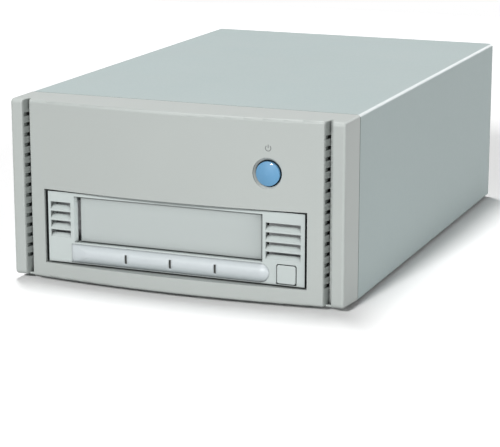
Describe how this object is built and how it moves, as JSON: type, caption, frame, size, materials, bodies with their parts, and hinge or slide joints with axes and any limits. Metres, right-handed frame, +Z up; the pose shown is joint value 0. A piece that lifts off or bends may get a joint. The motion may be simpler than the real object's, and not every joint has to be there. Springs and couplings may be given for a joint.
{
  "type": "data tape drive",
  "caption": "External half-inch tape drive: a half-height drive with a tape door, status bar and eject key in a pale grey table-top case with a round blue power button.",
  "frame": {"origin": "middle of the object's outline, on the plane that the feet stand on", "axes": "+X to the right seen from the front, +Y from the front panel to the rear, +Z up"},
  "size_m": [0.19, 0.3002, 0.1005],
  "materials": {
    "enclosure_plastic": "fine spark-eroded texture, pale warm grey",
    "enclosure_paint": "fine orange-peel powder coat, pale grey",
    "galvanised_sheet": "zinc plated, faint spangle",
    "foot_rubber": "matte moulded rubber",
    "screw_steel": "zinc plated",
    "button_blue": "satin, pale blue",
    "drive_plastic": "fine texture, pale grey",
    "bar_gloss": "polished, pale blue grey",
    "lens_dark": "smoked, polished",
    "board_green": "solder mask over copper",
    "black_plastic": "moulded, fine texture",
    "wheel_white": "moulded",
    "connector_steel": "nickel plated",
    "ribbon_grey": "ribbed vinyl",
    "cable_sleeve": "soft vinyl",
    "cast_alloy": "as cast",
    "lid_steel": "rolled sheet",
    "motor_steel": "plated",
    "reel_plastic": "moulded",
    "roller_alloy": "turned and anodised",
    "transformer_core": "ferrite and taped winding",
    "capacitor_sleeve": "shrunk sleeve",
    "head_ferrite": "lapped ferrite in a moulded carrier",
    "spring_wire": "music wire"
  },
  "bodies": {
    "enclosure": {"front_bezel": "enclosure_plastic", "top_cover": "enclosure_paint", "base_tray": "galvanised_sheet", "rear_panel": "enclosure_paint", "foot_front_left": "foot_rubber", "foot_front_right": "foot_rubber", "foot_rear_left": "foot_rubber", "foot_rear_right": "foot_rubber", "foot_screws": "screw_steel", "cover_screws": "screw_steel", "drive_rail_left": "galvanised_sheet", "drive_rail_right": "galvanised_sheet", "chassis_screws": "screw_steel", "drive_screws": "screw_steel", "power_shelf": "galvanised_sheet", "power_board": "board_green", "transformer": "transformer_core", "bulk_capacitors": "capacitor_sleeve", "heat_sink": "roller_alloy", "mains_inlet": "black_plastic", "inlet_screws": "screw_steel", "fan_frame": "black_plastic", "fan_screws": "screw_steel", "power_switch": "black_plastic", "switch_bracket": "galvanised_sheet", "bracket_screws": "screw_steel", "scsi_port_upper": "connector_steel", "scsi_port_lower": "connector_steel", "scsi_ribbon": "ribbon_grey", "id_selector": "black_plastic", "drive_power_cable": "cable_sleeve", "fan_lead": "cable_sleeve", "drive_bezel": "drive_plastic", "door_pin": "screw_steel", "status_bar": "bar_gloss", "status_lenses": "lens_dark", "drive_base": "cast_alloy", "drive_lid": "lid_steel", "cartridge_tray": "black_plastic", "supply_motor": "motor_steel", "takeup_motor": "motor_steel", "head_motor": "motor_steel", "drive_board": "board_green", "button_spring": "spring_wire", "eject_spring": "spring_wire", "door_spring": "spring_wire"},
    "power_button_cap": {"power_button": "button_blue"},
    "eject_key": {"eject_button": "drive_plastic"},
    "door": {"tape_door": "drive_plastic"},
    "fan": {"fan_rotor": "black_plastic"},
    "supply": {"supply_hub": "reel_plastic"},
    "takeup": {"takeup_reel": "reel_plastic"},
    "roller_1": {"guide_roller_1": "roller_alloy"},
    "roller_2": {"guide_roller_2": "roller_alloy"},
    "roller_3": {"guide_roller_3": "roller_alloy"},
    "head": {"head_carriage": "head_ferrite"},
    "head_lead": {"head_screw": "screw_steel"},
    "address_wheel": {"id_wheel": "wheel_white"},
    "address_up": {"id_button_up": "wheel_white"},
    "address_down": {"id_button_down": "wheel_white"}
  },
  "joints": [
    {"name": "power_button_press", "type": "slide", "parent": "enclosure", "child": "power_button_cap", "axis": [0, 1, 0], "range_m": [0, 0.003], "stiffness_N_per_m": 600, "deforming": ["button_spring"]},
    {"name": "eject_button_press", "type": "slide", "parent": "enclosure", "child": "eject_key", "axis": [0, 1, 0], "range_m": [0, 0.001], "stiffness_N_per_m": 900, "deforming": ["eject_spring"]},
    {"name": "tape_door_hinge", "type": "hinge", "parent": "enclosure", "child": "door", "pos_m": [0, -0.141, 0.0504], "axis": [1, 0, 0], "range_deg": [0, 88], "stiffness_Nm_per_rad": 0.01, "deforming": ["door_spring"]},
    {"name": "fan_spin", "type": "hinge", "parent": "enclosure", "child": "fan", "pos_m": [0.05, 0.1336, 0.053], "axis": [0, 1, 0], "continuous": true},
    {"name": "supply_hub_turn", "type": "hinge", "parent": "enclosure", "child": "supply", "pos_m": [-0.0038, -0.0849, 0.021], "axis": [0, 0, 1], "continuous": true},
    {"name": "takeup_reel_turn", "type": "hinge", "parent": "enclosure", "child": "takeup", "pos_m": [-0.018, 0.0121, 0.031], "axis": [0, 0, 1], "continuous": true},
    {"name": "guide_roller_1_turn", "type": "hinge", "parent": "enclosure", "child": "roller_1", "pos_m": [0.034, -0.0249, 0.031], "axis": [0, 0, 1], "continuous": true},
    {"name": "guide_roller_2_turn", "type": "hinge", "parent": "enclosure", "child": "roller_2", "pos_m": [0.052, -0.0214, 0.031], "axis": [0, 0, 1], "continuous": true},
    {"name": "guide_roller_3_turn", "type": "hinge", "parent": "enclosure", "child": "roller_3", "pos_m": [0.052, 0.0116, 0.031], "axis": [0, 0, 1], "continuous": true},
    {"name": "head_step", "type": "slide", "parent": "enclosure", "child": "head", "axis": [0, 0, 1], "range_m": [-0.002, 0.002]},
    {"name": "head_screw_turn", "type": "hinge", "parent": "enclosure", "child": "head_lead", "pos_m": [0.066, -0.0049, 0.033], "axis": [0, 0, 1], "range_deg": [-721, 721]},
    {"name": "address_wheel_turn", "type": "hinge", "parent": "enclosure", "child": "address_wheel", "pos_m": [-0.075, 0.1386, 0.033], "axis": [1, 0, 0], "continuous": true},
    {"name": "address_up_press", "type": "slide", "parent": "enclosure", "child": "address_up", "axis": [0, -1, 0], "range_m": [0, 0.001], "stiffness_N_per_m": 500},
    {"name": "address_down_press", "type": "slide", "parent": "enclosure", "child": "address_down", "axis": [0, -1, 0], "range_m": [0, 0.001], "stiffness_N_per_m": 500}
  ],
  "couplings": [
    {"joint": "head_screw_turn", "follows": "head_step", "rad_per_m": 6283.2}
  ]
}
